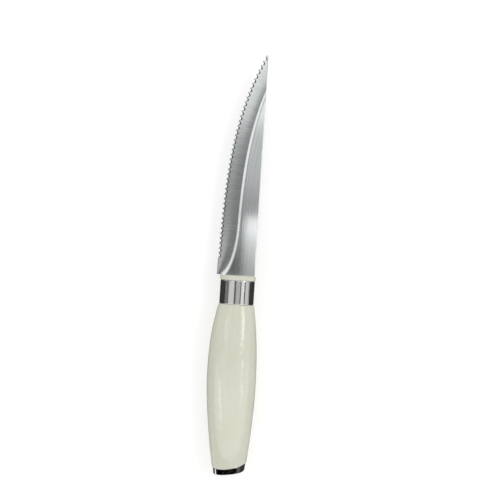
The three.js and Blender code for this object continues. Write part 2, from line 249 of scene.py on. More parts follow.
def wheel_height(from_edge):
    """Height of the wheel's surface: it climbs at the tilt from the gap's bottom, plus its arc."""
    shape = (-1,) + (1,) * (np.ndim(from_edge) - 1)
    climb = (from_edge - TOOTH_DEPTH) * math.tan(WHEEL_TILT)
    return gap_bottom.reshape(shape) + climb + arc_rise.reshape(shape) / math.cos(WHEEL_TILT)


def wheel_meets(height_of):
    """Where the wheel's surface reaches a height that itself depends on the place, by iteration."""
    from_edge = np.full(len(columns), TOOTH_DEPTH)
    for _ in range(SOLVER_STEPS):
        short = height_of(from_edge) - wheel_height(from_edge)
        from_edge += short / math.tan(WHEEL_TILT) * SOLVER_PACE
    return from_edge


edge_start = np.maximum(0, wheel_meets(lambda w: EDGE_LAND - half_thickness(columns, w)))
scallop_end = wheel_meets(lambda w: half_thickness(columns, w))
print(f"{TEETH} teeth, scallops up to {np.max(scallop_end):.2f} mm high")

# %% [markdown]
# ## The blade
# Each column of the blade is a closed ring: up the toothed face, over the rounded back and down the
# plain face. The rows are spread between the edge, the scallop's border, the shoulder, the ground
# line and the back, so no feature falls between two rows, and one short step above the line keeps
# its upper side crisp. Towards the tip the blade is narrower than its features, so each border also
# keeps clear of the next one.

# %% Blade surface
BACK_ROUND = 0.25
BACK_ROUND_SHARE = 1 / 8
FLAT_STEP = 0.06
# Over this length from the heel the columns turn until they stand square to the edge.
HEEL_TURN = 20
# Least heights of the bands, and the highest place of each border as a share of the width.
SCALLOP_LEAST = 0.15
BAND_LEAST = 0.05
SCALLOP_LIMIT = 0.6
FOOT_LIMIT = 0.9
LINE_LIMIT = 0.97
# Rows in each band of a face, from the edge to the back.
ROWS = {"scallop": 9, "bevel": 12, "shoulder": 9, "step": 1, "flat": 5, "back": 8}

edge_at, inward = on_edge(columns)
inward[:, 1] *= np.clip(columns / HEEL_TURN, 0, 1)
full_width = (BACK_X - edge_at[:, 0]) / inward[:, 0]
back_round = np.minimum(BACK_ROUND, full_width * BACK_ROUND_SHARE)
flat_end = full_width - back_round
scallop_end = np.clip(scallop_end, edge_start + SCALLOP_LEAST, None)
scallop_end = np.minimum(scallop_end, SCALLOP_LIMIT * flat_end)
foot = np.clip(bevel_height(columns) - SHOULDER_LENGTH, scallop_end + BAND_LEAST, None)
foot = np.minimum(foot, FOOT_LIMIT * flat_end)
line = np.clip(bevel_height(columns), foot + BAND_LEAST, LINE_LIMIT * flat_end)
flat_start = line + np.minimum(FLAT_STEP, (flat_end - line) / 2)
borders = [edge_start, scallop_end, foot, line, flat_start, flat_end]


def spread(first, last, count):
    """Rows from one border up to, but without, the next: first + (last - first) * i / count."""
    return first[:, None] + (last - first)[:, None] * np.arange(count) / count


bands = list(ROWS.values())[:-1]
face_rows = np.hstack([spread(*pair) for pair in zip(borders[:-1], borders[1:], bands)])
plain_z = half_thickness(columns[:, None], face_rows)
toothed_z = np.minimum(plain_z, np.maximum(wheel_height(face_rows), EDGE_LAND - plain_z))
back_turn = np.linspace(0, math.pi / 2, ROWS["back"])
back_rows = flat_end[:, None] + back_round[:, None] * np.sin(back_turn)
back_drop = back_round[:, None] * (1 - np.cos(back_turn))
back_z = half_thickness(columns, flat_end)[:, None] - back_drop

up_rows = np.hstack([face_rows, back_rows])
ring_rows = np.hstack([up_rows, up_rows[:, ::-1]])
ring_z = np.hstack([toothed_z, back_z, -back_z[:, ::-1], -plain_z[:, ::-1]])
blade_rings = np.dstack([edge_at[:, None] + inward[:, None] * ring_rows[..., None], ring_z])
print("blade grid:", blade_rings.shape[:2])

# %% [markdown]
# ## The tang and the heel
# The tang goes on from the heel in the same stack of rings. In the hand the heel looks tight against
# the collar, so one more ring carries the heel's outline down to a fine seam. Each point also keeps
# its place on the blade, so that the finish can follow the grinding.

# %% Tang and the finished blade
TANG_HALF = 4.5
TANG_PLAY = 0.05
TANG_END = BLADE_LOW[1]
TANG_END_TURN = 0.48 * math.pi
TANG_END_RINGS = 9
HEEL_SEAM = 0.02
BLADE_CREASE = 14
SCALLOP_LEAD = 1

tang_turn = np.linspace(TANG_END_TURN, 0, TANG_END_RINGS)
seam_y = COLLAR_FRONT + HEEL_SEAM
tang_y = np.concatenate([TANG_END + TANG_HALF * (1 - np.sin(tang_turn)), [0, seam_y]])
tang_half = np.concatenate([TANG_HALF * np.cos(tang_turn), [TANG_HALF, TANG_HALF]])
across = 2 * ring_rows[0] / full_width[0] - 1
tang_rings = np.empty((len(tang_y), len(across), 3))
tang_rings[..., 0] = tang_half[:, None] * across
tang_rings[..., 1] = tang_y[:, None]
tang_rings[..., 2] = (BLADE_THICKNESS / 2 - TANG_PLAY) * np.sign(ring_z[0])

heel_ring = blade_rings[:1].copy()
heel_ring[..., 1] = seam_y
stack = np.concatenate([tang_rings, heel_ring, blade_rings])
blade = skin("blade_steel", stack, crease_deg=BLADE_CREASE)


def keep_on_points(piece, name, values):
    """Stores one vector for each point of a mesh; the two hubs at the end get the last one."""
    extra = len(piece.data.vertices) - len(values)
    values = np.vstack([values, np.repeat(values[-1:], extra, 0)]).astype(np.float32)
    kept = piece.data.attributes.new(name, "FLOAT_VECTOR", "POINT")
    kept.data.foreach_set("vector", values.ravel())


# The third number says how the place was ground: 0 on the flat, 1 on the bevel, 2 in the scallops.
row_zone = np.repeat([2.0, 1.0, 1.0, 0.0, 0.0, 0.0], list(ROWS.values()))
ring_zone = np.concatenate([row_zone, np.minimum(row_zone[::-1], 1)])
before_teeth = columns[:, None] < PLAIN_HEEL - SCALLOP_LEAD
ring_zone = np.where(before_teeth, np.minimum(ring_zone, 1), ring_zone)
grind = np.dstack([np.broadcast_to(columns[:, None], ring_rows.shape), ring_rows, ring_zone])
tang_grind = np.zeros(tang_rings.shape)
keep_on_points(blade, "grind", np.concatenate([tang_grind, grind[:1], grind]).reshape(-1, 3))

# %% [markdown]
# ## Ovals across the knife
# The collar, the ferrule, the handle and the cap are all ovals, a little squarer than an ellipse so
# that the knife does not roll. Lofting them from drawn curves would do, but one formula for the oval
# and one array of sizes for each piece is shorter, and neighbouring pieces then fit without a seam.

# %% The oval
OVAL_POINTS = 176
OVAL_POWER = 2.25
turn = 2 * np.pi * np.arange(OVAL_POINTS) / OVAL_POINTS


def ovals(rows):
    """Rings from rows of x, y, half width, half height, tilt about Z and bow.

    Across = half width * |cos|^(2/power) with the sign of cos, and up the same with sin. Across
    points along X, turned by the tilt, and a bowed ring runs back by bow * up^2.
    """
    x, y, half_width, half_height, tilt, bow = np.array(rows, float).T[..., None]
    across = half_width * np.sign(np.cos(turn)) * np.abs(np.cos(turn)) ** (2 / OVAL_POWER)
    up = np.sign(np.sin(turn)) * np.abs(np.sin(turn)) ** (2 / OVAL_POWER)
    y = y + across * np.sin(tilt) - bow * up**2
    return np.stack([x + across * np.cos(tilt), y, half_height * up], -1)


def straight(y, half, inset=0.0):
    """Rows of untilted ovals on the axis: y and inset may be arrays of the same length."""
    y, inset = np.broadcast_arrays(np.atleast_1d(y), inset)
    zero = np.zeros(len(y))
    return np.stack([zero, y, half[0] - inset, half[1] - inset, zero, zero], -1)


# Rings this far inside each rounded rim keep the shading straight between the rims.
STRAIGHT_STEP = 0.05


def corner(radius, steps=10):
    """A quarter round: how far in from the side and how far short of the end, step by step."""
    angle = np.linspace(0, math.pi / 2, steps)
    return radius * (1 - np.cos(angle)), radius * (1 - np.sin(angle))


print("points round each oval:", OVAL_POINTS)

# %% [markdown]
# ## The collar and the ferrule
# The collar is a short moulded ring with rounded rims, slotted for the tang, and its spigot sits in
# the ferrule. The ferrule is a drawn steel tube, and its two rims are rolled in a little, so light
# catches there as a fine line. Both are stacks of ovals; the slot is an oval of a very high power.

# %% Collar and ferrule surfaces
FERRULE_WALL = 0.8
FIT = 0.25
COLLAR_PROUD = 0.4
COLLAR_ROUND = 0.6
COLLAR_SPIGOT = 4
COLLAR_BACK_ROUND = 0.5
RIM_ROUND = 0.4
SLOT_HALF = np.array([TANG_HALF + FIT, BLADE_THICKNESS / 2 + FIT])
SLOT_POWER = 10

flange = FERRULE_HALF + COLLAR_PROUD
spigot = FERRULE_HALF - FERRULE_WALL - FIT
back_inset, back_short = corner(COLLAR_BACK_ROUND)
nose_inset, nose_short = corner(COLLAR_ROUND, steps=16)
flange_y = [COLLAR_BACK_ROUND + STRAIGHT_STEP, COLLAR_FRONT - COLLAR_ROUND - STRAIGHT_STEP]
collar_rings = ovals(np.vstack([
    straight(-COLLAR_SPIGOT, spigot),
    straight(0, spigot),
    straight(back_short, flange, back_inset)[::-1],
    straight(flange_y, flange),
    straight(COLLAR_FRONT - nose_short, flange, nose_inset),
]))
slot_turn = np.stack([np.cos(turn), np.sin(turn)], -1)
slot_shape = SLOT_HALF * np.sign(slot_turn) * np.abs(slot_turn) ** (2 / SLOT_POWER)
slot_rings = np.stack([
    np.insert(slot_shape, 1, y, axis=1) for y in (COLLAR_FRONT, -COLLAR_SPIGOT)
])
collar = skin("collar_ivory", np.concatenate([collar_rings, slot_rings]), ring_shaped=True)

rim_inset, rim_short = corner(RIM_ROUND)
ferrule_inner = FERRULE_HALF - FERRULE_WALL
tube_y = [-RIM_ROUND - STRAIGHT_STEP, RIM_ROUND + STRAIGHT_STEP - FERRULE_LENGTH]
ferrule = skin("ferrule_steel", ovals(np.vstack([
    straight(-rim_short, FERRULE_HALF, rim_inset)[::-1],
    straight(tube_y, FERRULE_HALF),
    straight(rim_short - FERRULE_LENGTH, FERRULE_HALF, rim_inset),
    straight([-FERRULE_LENGTH, 0], ferrule_inner),
])), ring_shaped=True)

# %% [markdown]
# ## The handle
# The handle is a hollow barrel moulded in ABS. Its outline swells more on the edge side than on the
# back, and the sections lean over until they are parallel to the slanted butt. Each side is a
# straight taper plus a swell. The barrel ends in a small round, a little short of the CAD model's
# butt, so that the cap can close on it with a fine seam.

# %% Handle surface
HANDLE_LENGTH = 89.85
HANDLE_PROUD = 0.3
HANDLE_FRONT_ROUND = 0.4
HANDLE_END_ROUND = 0.4
LIP_SHORT = 0.3
BUTT_SLANT = math.radians(11)
BUTT_BOW = 0.9
BORE_HALF = np.array([6.7, 5.2])
CAP_HEIGHT = 4.45
CAP_SLANT = math.radians(9)
BARREL_RINGS = 140
# For each side: its distance from the axis at the butt, then its swell in front and behind.
EDGE_SIDE = (8.2, 5.7, 3.5)
BACK_SIDE = (11.4, 3.5, 2.4)
FLAT_SIDE = (8.4, 4.2, 2.2)


def side(front, shape, share):
    """Distance of one side from the axis: a taper to the rear, plus a swell of 4 s (1 - s)."""
    rear, swell_front, swell_rear = shape
    swell = swell_front + (swell_rear - swell_front) * share
    return front + (rear - front) * share + 4 * share * (1 - share) * swell


def handle_rows(share):
    """Rows of the barrel's ovals at shares of the way from the ferrule to the butt."""
    front = FERRULE_HALF + HANDLE_PROUD
    edge_side, back_side = (side(front[0], shape, share) for shape in (EDGE_SIDE, BACK_SIDE))
    return np.stack([
        (back_side - edge_side) / 2,
        -FERRULE_LENGTH - HANDLE_LENGTH * share,
        (back_side + edge_side) / 2,
        side(front[1], FLAT_SIDE, share),
        BUTT_SLANT * share**2,
        BUTT_BOW * share**2,
    ], -1)


butt = handle_rows(np.array([1.0]))[0]
BUTT_HALF = butt[2:4]


def behind_butt(distance, half, inset=0.0):
    """Rows of ovals at distances behind the butt: like it at first, less slanted at the end."""
    distance, inset = np.broadcast_arrays(np.atleast_1d(distance), inset)
    share = np.clip(distance / CAP_HEIGHT, 0, 1)
    return np.stack([
        np.full(len(distance), butt[0]),
        butt[1] - distance,
        half[0] - inset,
        half[1] - inset,
        BUTT_SLANT + (CAP_SLANT - BUTT_SLANT) * share,
        BUTT_BOW * (1 - share),
    ], -1)


neck_y = -COLLAR_SPIGOT - SEAT
bore_end = butt[1] - butt[0] * math.tan(BUTT_SLANT)
front_inset, front_short = corner(HANDLE_FRONT_ROUND, steps=8)
end_inset, end_short = corner(HANDLE_END_ROUND, steps=14)
lip_share = 1 - LIP_SHORT / HANDLE_LENGTH
barrel_end = lip_share - HANDLE_END_ROUND / HANDLE_LENGTH
barrel = handle_rows(np.linspace(0, barrel_end, BARREL_RINGS))
front_rows = np.repeat(barrel[:1], len(front_inset), 0)
front_rows[:, 1] -= front_short
front_rows[:, 2:4] -= front_inset[:, None]
lip_half = handle_rows(np.array([lip_share]))[0, 2:4]
slanted_half = BORE_HALF[0] / math.cos(BUTT_SLANT)
handle_rings = ovals(np.vstack([
    straight([neck_y, -FERRULE_LENGTH], ferrule_inner - FIT),
    front_rows[::-1],
    barrel[1:],
    behind_butt(-LIP_SHORT - end_short, lip_half, end_inset)[1:],
    [0, bore_end + LIP_SHORT, slanted_half, BORE_HALF[1], BUTT_SLANT, BUTT_BOW],
    straight(neck_y, BORE_HALF),
]))
print("handle grid:", handle_rings.shape[:2], "butt half sizes:", BUTT_HALF.round(2))

# %% [markdown]
# ## Sink marks in the handle
# As such a thick moulding cools it sinks a little here and there, and that breaks the long highlight
# on it. A noise texture would do for one picture, but waves in the shape itself stay in the model
# wherever it is used. They are a few hundredths of a millimetre deep and stop short of both ends.

# %% Sink marks
SINK_DEPTH = 0.035
SINK_FROM_FRONT = 2
SINK_FROM_BUTT = 4
SINK_FROM_BORE = 0.5
# Share, then length and start along the barrel, then lobes, twist and start round it.
SINK_WAVES = (
    (1.0, 4.1, 1.3, 2, 17, 0),
    (0.7, 2.3, 0.4, 3, -11, -math.pi / 2),
    (0.8, 7.9, 2.0, 5, 23, 0),
)


def sink_waves(y):
    """Shallow dips: a weighted mean of sin(y / length + start) * cos(lobes * turn + y / twist)."""
    waves = 0
    for share, length, start, lobes, twist, turn_start in SINK_WAVES:
        along_barrel = np.sin(y / length + start)
        waves = waves + share * along_barrel * np.cos(lobes * turn + y / twist + turn_start)
    return SINK_DEPTH * waves / sum(share for share, *_ in SINK_WAVES)


ring_y = handle_rings[..., 1]
on_barrel = (ring_y < -FERRULE_LENGTH - SINK_FROM_FRONT) & (ring_y > butt[1] + SINK_FROM_BUTT)
from_axis = np.hypot(handle_rings[..., 0], handle_rings[..., 2])
outside = from_axis > BORE_HALF[0] + SINK_FROM_BORE
sink = np.where(on_barrel & outside, sink_waves(ring_y), 0)
print("sink marks up to", round(np.abs(sink).max(), 3), "mm")
handle_rings[..., 0] += sink * np.cos(turn)
handle_rings[..., 2] += sink * np.sin(turn)
handle = skin("handle_ivory", handle_rings, ring_shaped=True)

# %% [markdown]
# ## The end cap
# The cap is a cup pressed from polished sheet and glued on the butt. Its corner is round and its end
# is slightly crowned, so it mirrors the room as a dark band with one bright stripe. It is a stack of
# ovals, parallel to the butt at the rim and less slanted at the end: in along the hollow side, round
# the rim, over the corner and up to the crown. A spun profile could not slant like that.

# %% End cap surface
CAP_INSET = 0.4
CAP_DRAFT = 0.4
CAP_WALL = 0.6
CAP_CORNER = 1.4
CAP_CROWN = 0.4
CAP_RIM_ROUND = 0.2
CAP_SEAM = 0.03
CROWN_EYE = 0.05
CROWN_RINGS = 14

cap_half = BUTT_HALF - CAP_INSET
cap_inner = cap_half - CAP_WALL
cap_end = cap_half - CAP_DRAFT
corner_inset, corner_short = corner(CAP_CORNER, steps=14)
hollow_inset, hollow_short = corner(CAP_CORNER - CAP_WALL, steps=8)
cap_rim_inset, cap_rim_short = corner(CAP_RIM_ROUND, steps=6)
crown_left = np.linspace(1, CROWN_EYE, CROWN_RINGS)
crown_rows = behind_butt(CAP_HEIGHT + CAP_CROWN * (1 - crown_left**2), cap_half)
crown_rows[:, 2:4] = (cap_end - CAP_CORNER) * crown_left[:, None]
cap_start = CAP_SEAM - LIP_SHORT
cap = skin("cap_steel", ovals(np.vstack([
    behind_butt(CAP_HEIGHT - CAP_WALL - hollow_short, cap_end - CAP_WALL, hollow_inset)[::-1],
    behind_butt(cap_start, cap_inner),
    behind_butt(cap_start + cap_rim_short, cap_half, cap_rim_inset)[::-1],
    behind_butt(cap_start + CAP_RIM_ROUND + STRAIGHT_STEP, cap_half),
    behind_butt(CAP_HEIGHT - CAP_CORNER - STRAIGHT_STEP, cap_end),
    behind_butt(CAP_HEIGHT - corner_short, cap_end, corner_inset),
    crown_rows[1:],
])))

# %% [markdown]
# ## Colours and nodes
# Finishes are node trees. Colours are written as the hex values that a screen shows, and Blender
# works in linear light, so one function turns them over. One more adds a node with its settings and
# its links in a single call, which keeps each finish short enough to read at a glance.


# %% Colour and node helpers
def colour(hex_value):
    """A hex colour as linear light: below 0.04045 divided by 12.92, above it a power of 2.4."""
    screen = np.array([int(hex_value[k:k + 2], 16) for k in (1, 3, 5)]) / 255
    linear = np.where(screen <= 0.04045, screen / 12.92, ((screen + 0.055) / 1.055) ** 2.4)
    return (*linear, 1.0)


def add(tree, kind, inputs=None, **settings):
    """Adds one node. Inputs are values, or other nodes' outputs to link; settings are its own."""
    made = tree.nodes.new("ShaderNode" + kind)
    for key, value in settings.items():
        setattr(made, key, value)
    for key, value in (inputs or {}).items():
        if isinstance(value, bpy.types.NodeSocket):
            tree.links.new(value, made.inputs[key])
        else:
            made.inputs[key].default_value = value
    return made


def new_finish(name):
    """A new material with an empty node tree and its output node."""
    finish = bpy.data.materials.new(name)
    finish.use_nodes = True
    finish.node_tree.nodes.clear()
    print("finish:", name)
    return finish, finish.node_tree, add(finish.node_tree, "OutputMaterial")


# %% [markdown]
# ## Ground stainless steel
# The strip is polished on the flats, ground across on the bevel and coarser in the scallops.
# Grinding leaves fine parallel lines, and they spread a reflection across their own direction. An
# image could paint them, but the blade knows its own lengths, so stretched noise in those lengths
# draws lines that follow the edge. Real lines are about 0.05 mm apart; they are drawn coarser here
# so that they show.

# %% Blade finish
GRIND_LINE = 0.45
GRIND_RUN = 14.0
POLISH_LINE = 0.6
POLISH_RUN = 45.0
GRIND_RELIEF = 0.02

ground_steel, tree, out = new_finish("ground_stainless_steel")
place = add(tree, "Attribute", attribute_name="grind").outputs["Vector"]
zone = add(tree, "SeparateXYZ", {0: place}).outputs["Z"]
on_bevel = add(tree, "Clamp", {"Value": zone}).outputs[0]
across_lines = add(tree, "TexNoise", {
    "Vector": add(tree, "Mapping", {
        "Vector": place, "Scale": (1 / GRIND_LINE, 1 / GRIND_RUN, 0),
    }).outputs[0],
    "Scale": 1.0, "Detail": 3.0, "Roughness": 0.6,
}).outputs["Fac"]
along_lines = add(tree, "TexNoise", {
    "Vector": add(tree, "Mapping", {
        "Vector": place, "Scale": (1 / POLISH_RUN, 1 / POLISH_LINE, 0),
    }).outputs[0],
    "Scale": 1.0, "Detail": 3.0, "Roughness": 0.6,
}).outputs["Fac"]
lines = add(tree, "Mix", {"Factor": on_bevel, "A": along_lines, "B": across_lines}).outputs[0]
base_rough = add(tree, "MapRange", {
    "Value": zone, "From Max": 2.0, "To Min": 0.06, "To Max": 0.18,
}).outputs[0]
line_rough = add(tree, "MapRange", {"Value": lines, "To Min": -0.03, "To Max": 0.03}).outputs[0]
roughness = add(tree, "Math", {0: base_rough, 1: line_rough}, operation="ADD").outputs[0]
tone = add(tree, "MapRange", {"Value": lines, "From Min": 0.3, "From Max": 0.7}).outputs[0]
steel_tone = add(tree, "Mix", {
    "Factor": tone, "A": colour("#c6cacb"), "B": colour("#d6d9d8"),
}, data_type="RGBA").outputs[2]
relief = add(tree, "Bump", {"Height": lines, "Strength": 0.12, "Distance": GRIND_RELIEF * MM})
shader = add(tree, "BsdfPrincipled", {
    "Base Color": steel_tone, "Metallic": 1.0, "Roughness": roughness,
    "Normal": relief.outputs[0], "Anisotropic": 0.3,
})
tree.links.new(shader.outputs[0], out.inputs["Surface"])

# %% [markdown]
# ## Mirror-polished stainless steel
# The ferrule and the cap are buffed until they mirror the room, and all that is left on them is a
# faint haze and a few hairlines from handling. Low roughness with a little noise gives that, and
# what the eye then sees on them is mostly the lights and dark cards of the studio.

# %% Polished finish
HAZE_PATCH = 4.0
HAIRLINE = 0.5
HAIRLINE_RUN = 12.0
HAIRLINE_RELIEF = 0.02

polished_steel, tree, out = new_finish("polished_stainless_steel")
place = add(tree, "TexCoord").outputs["Object"]
haze = add(tree, "TexNoise", {
    "Vector": place, "Scale": 1 / (HAZE_PATCH * MM), "Detail": 4.0,
}).outputs["Fac"]
hairlines = add(tree, "TexNoise", {
    "Vector": add(tree, "Mapping", {
        "Vector": place,
        "Scale": (1 / (HAIRLINE_RUN * MM), 1 / (HAIRLINE * MM), 1 / (HAIRLINE_RUN * MM)),
    }).outputs[0],
    "Scale": 1.0, "Detail": 2.0,
}).outputs["Fac"]
roughness = add(tree, "MapRange", {"Value": haze, "To Min": 0.03, "To Max": 0.11}).outputs[0]
relief = add(tree, "Bump", {
    "Height": hairlines, "Strength": 0.06, "Distance": HAIRLINE_RELIEF * MM,
})
shader = add(tree, "BsdfPrincipled", {
    "Base Color": colour("#dcdcda"), "Metallic": 1.0, "Roughness": roughness,
    "Normal": relief.outputs[0],
})
tree.links.new(shader.outputs[0], out.inputs["Surface"])

# %% [markdown]
# ## Glossy ivory ABS
# ABS comes out of a polished mould glossy, with a skin that is never quite flat. The pigment is even,
# with only a breath of warmer and cooler cloud in it. A plain colour would look like paper, so the
# finish has those clouds, shallow sink waves that break up its highlights, a very slight orange peel
# and patches that handling has dulled.

# %% Ivory finish
CLOUD = 14.0
PEEL = 1.1
PEEL_RELIEF = 0.03
SINK = 4.5
SINK_RELIEF = 0.2
HANDLING = 9.0
ABS_IOR = 1.54

ivory, tree, out = new_finish("moulded_ivory_abs")
place = add(tree, "TexCoord").outputs["Object"]
cloud = add(tree, "TexNoise", {
    "Vector": place, "Scale": 1 / (CLOUD * MM), "Detail": 3.0,
}).outputs["Fac"]
peel = add(tree, "TexNoise", {
    "Vector": place, "Scale": 1 / (PEEL * MM), "Detail": 1.0,
}).outputs["Fac"]
dulled = add(tree, "TexNoise", {
    "Vector": place, "Scale": 1 / (HANDLING * MM), "Detail": 5.0,
}).outputs["Fac"]
sunk = add(tree, "TexNoise", {
    "Vector": place, "Scale": 1 / (SINK * MM), "Detail": 1.0,
}).outputs["Fac"]
ivory_tone = add(tree, "Mix", {
    "Factor": add(tree, "MapRange", {"Value": cloud, "From Min": 0.3, "From Max": 0.7}).outputs[0],
    "A": colour("#dbdbcd"), "B": colour("#dad9c6"),
}, data_type="RGBA").outputs[2]
roughness = add(tree, "MapRange", {"Value": dulled, "To Min": 0.04, "To Max": 0.2}).outputs[0]
waves = add(tree, "Bump", {"Height": sunk, "Strength": 1.0, "Distance": SINK_RELIEF * MM})
relief = add(tree, "Bump", {
    "Height": peel, "Strength": 0.5, "Distance": PEEL_RELIEF * MM, "Normal": waves.outputs[0],
})
shader = add(tree, "BsdfPrincipled", {
    "Base Color": ivory_tone, "Roughness": roughness, "IOR": ABS_IOR,
    "Normal": relief.outputs[0],
})
tree.links.new(shader.outputs[0], out.inputs["Surface"])

# %% [markdown]
# ## Natural polypropylene
# The grips and the plug inside the handle are moulded in uncoloured polypropylene from a plain tool.
# They are waxy and matt with a fine grain. They never show, but an opened handle would show them.

# %% Core finish
GRAIN = 0.8
GRAIN_RELIEF = 0.05
POLYPROPYLENE_IOR = 1.49

core, tree, out = new_finish("moulded_natural_polypropylene")
place = add(tree, "TexCoord").outputs["Object"]
grain = add(tree, "TexNoise", {
    "Vector": place, "Scale": 1 / (GRAIN * MM), "Detail": 3.0,
}).outputs["Fac"]
core_tone = add(tree, "Mix", {
    "Factor": grain, "A": colour("#cdcbc2"), "B": colour("#d6d4cc"),
}, data_type="RGBA").outputs[2]
relief = add(tree, "Bump", {"Height": grain, "Strength": 0.3, "Distance": GRAIN_RELIEF * MM})
shader = add(tree, "BsdfPrincipled", {
    "Base Color": core_tone, "Roughness": 0.55, "IOR": POLYPROPYLENE_IOR,
    "Normal": relief.outputs[0],
})
tree.links.new(shader.outputs[0], out.inputs["Surface"])

# %% [markdown]
# ## Put the pieces on the frame
# Nothing on this knife moves, so the frame has one body and everything rides on it. Each new piece
# takes its finish, and the CAD node that it stands for is hidden.

# %% Ride, replace and finish
for piece, node, slot, finish in (
    (blade, "blade", "ground_steel", ground_steel),
    (collar, "front_collar", "ivory_plastic", ivory),
    (ferrule, "ferrule", "polished_steel", polished_steel),
    (handle, "handle", "ivory_plastic", ivory),
    (cap, "end_cap", "polished_steel", polished_steel),
):
    piece.data.materials.append(finish)
    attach(piece, "root")
    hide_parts(node)

for node in ("tang_grip_upper", "tang_grip_lower", "cap_plug"):
    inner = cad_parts[node]
    inner.data.materials.clear()
    inner.data.materials.append(core)

# %% [markdown]
# ## Camera
# The knife is seen from straight above, turned a few degrees. One pixel of the picture is 0.56 mm on
# the knife's middle plane, so the picture's width and the distance together give the lens.

# %% Camera
IMAGE_PIXELS = 484
PIXEL = 0.56
CAMERA_DISTANCE = 504
CAMERA_TURN = math.radians(3.6)
CAMERA_NEAR = 0.01
AIM_ACROSS = 1.0
AIM_PAST_FERRULE = 28.1

camera = bpy.data.objects.new("camera", bpy.data.cameras.new("camera"))
camera.data.lens = camera.data.sensor_width * CAMERA_DISTANCE / (IMAGE_PIXELS * PIXEL)
above = np.array([AIM_ACROSS, AIM_PAST_FERRULE - FERRULE_LENGTH / 2, CAMERA_DISTANCE])
camera.location = above * MM + ORIGIN
camera.rotation_euler = (0, 0, CAMERA_TURN)
camera.data.clip_start = CAMERA_NEAR
bpy.context.scene.collection.objects.link(camera)
bpy.context.scene.camera = camera
print("lens:", round(camera.data.lens, 2), "mm")

# %% [markdown]
# ## Floor and world
# The floor and the world are white to the camera and in reflections, and the floor still takes the
# knife's shadow. Light Path tells who is looking: other rays see the plain light level of the world.

# %% Floor and world
FLOOR_HALF = 2.5
FLOOR_GLOW = 0.5
WORLD_LEVEL = 0.85


def seen_directly(tree):
    """1 for camera, glossy and transmission rays, 0 for the others."""
    path = add(tree, "LightPath").outputs
    mirrored = add(tree, "Math", {
        0: path["Is Glossy Ray"], 1: path["Is Transmission Ray"],
    }, operation="MAXIMUM").outputs[0]
    return add(tree, "Math", {
        0: path["Is Camera Ray"], 1: mirrored,
    }, operation="MAXIMUM").outputs[0]


def sheet_of(name, corners, faces, finish):
    """A flat stage object, corners in metres in the frame."""
    mesh = bpy.data.meshes.new(name)
    mesh.from_pydata(corners, [], faces)
    mesh.materials.append(finish)
    made = bpy.data.objects.new(name, mesh)
    bpy.context.scene.collection.objects.link(made)
    return made


white_floor, tree, out = new_finish("white_studio_floor")
directly = seen_directly(tree)
floor_tone = add(tree, "Mix", {
    "Factor": directly, "A": colour("#f9f9f8"), "B": colour("#cdcdcc"),
}, data_type="RGBA").outputs[2]
lit = add(tree, "BsdfDiffuse", {"Color": floor_tone}).outputs[0]
glow_share = add(tree, "Math", {0: directly, 1: FLOOR_GLOW}, operation="MULTIPLY").outputs[0]
glow = add(tree, "Emission", {"Color": colour("#ffffff"), "Strength": glow_share}).outputs[0]
floor_sum = add(tree, "AddShader", {0: lit, 1: glow})
tree.links.new(floor_sum.outputs[0], out.inputs["Surface"])
sheet_of("floor", [
    (-FLOOR_HALF, -FLOOR_HALF, 0), (FLOOR_HALF, -FLOOR_HALF, 0),
    (FLOOR_HALF, FLOOR_HALF, 0), (-FLOOR_HALF, FLOOR_HALF, 0),
], [(0, 1, 2, 3)], white_floor)

world = bpy.data.worlds.new("studio")
world.use_nodes = True
bpy.context.scene.world = world
tree = world.node_tree
tree.nodes.clear()
plain = add(tree, "Background", {"Color": colour("#ffffff"), "Strength": WORLD_LEVEL}).outputs[0]
white = add(tree, "Background", {"Color": colour("#ffffff"), "Strength": 1.0}).outputs[0]
world_mix = add(tree, "MixShader", {0: seen_directly(tree), 1: plain, 2: white})
world_out = add(tree, "OutputWorld")
tree.links.new(world_mix.outputs[0], world_out.inputs["Surface"])
print("floor:", 2 * FLOOR_HALF, "m square, plain light level:", WORLD_LEVEL)

# %% [markdown]
# ## Cards in the studio
# Polished steel looks like whatever stands round it, and in an all-white studio it looks like paper.
# Photographers hang dark cards to draw its form, and so does this lesson. The cards glow with their
# own grey, which may change along a card. They show only in reflections and cast no shadow, so they
# draw the steel without touching the light on the rest.

# %% Card helpers
card_finish, tree, out = new_finish("reflection_card")
grey_here = add(tree, "Attribute", attribute_name="grey").outputs["Fac"]
shown = add(tree, "Emission", {"Strength": grey_here})
tree.links.new(shown.outputs[0], out.inputs["Surface"])


def strip(name, rungs):
    """A strip of card seen only in reflections; each rung is two corners and a grey.

    Between two rungs the grey changes evenly.
    """
    corners = [point for a, b, _ in rungs for point in (a, b)]
    faces = [(k, k + 1, k + 3, k + 2) for k in range(0, len(corners) - 2, 2)]
    made = sheet_of(name, corners, faces, card_finish)
    greys = np.repeat([grey for *_, grey in rungs], 2).astype(np.float32)
    made.data.attributes.new("grey", "FLOAT", "POINT").data.foreach_set("value", greys)
    made.visible_camera = False
    made.visible_diffuse = False
    made.visible_shadow = False


def card(name, side_a, side_b, stops):
    """A strip along Y between two lines at x and z; the stops are pairs of y and grey."""
    (xa, za), (xb, zb) = side_a, side_b
    strip(name, [((xa, y, za), (xb, y, zb), grey) for y, grey in stops])


def aside(height, angle_deg):
    """How far to the side a point at a height is, seen at an angle from overhead."""
    return height * math.tan(math.radians(angle_deg))


# %% [markdown]
# ## Cards overhead
# One row of cards over the ferrule gives it its dark and light stripes, and one over the blade gives
# the flat, the shoulder and the bevel their tones. An angle of 0 is overhead and positive angles lean
# to the back of the blade. Behind the ferrule the stripes fade out, so the handle doesn't show them.

# %% Cards overhead
CARD_HEIGHT = 0.9
FAR = 4.0
BLADE_START = -0.043
FADE_START = -0.12
FADE_END = -0.3
REAR_END = -0.7
REAR_GREY = 1.5
STEEP_ANGLE = 45
STEEP_DELAY = 0.07
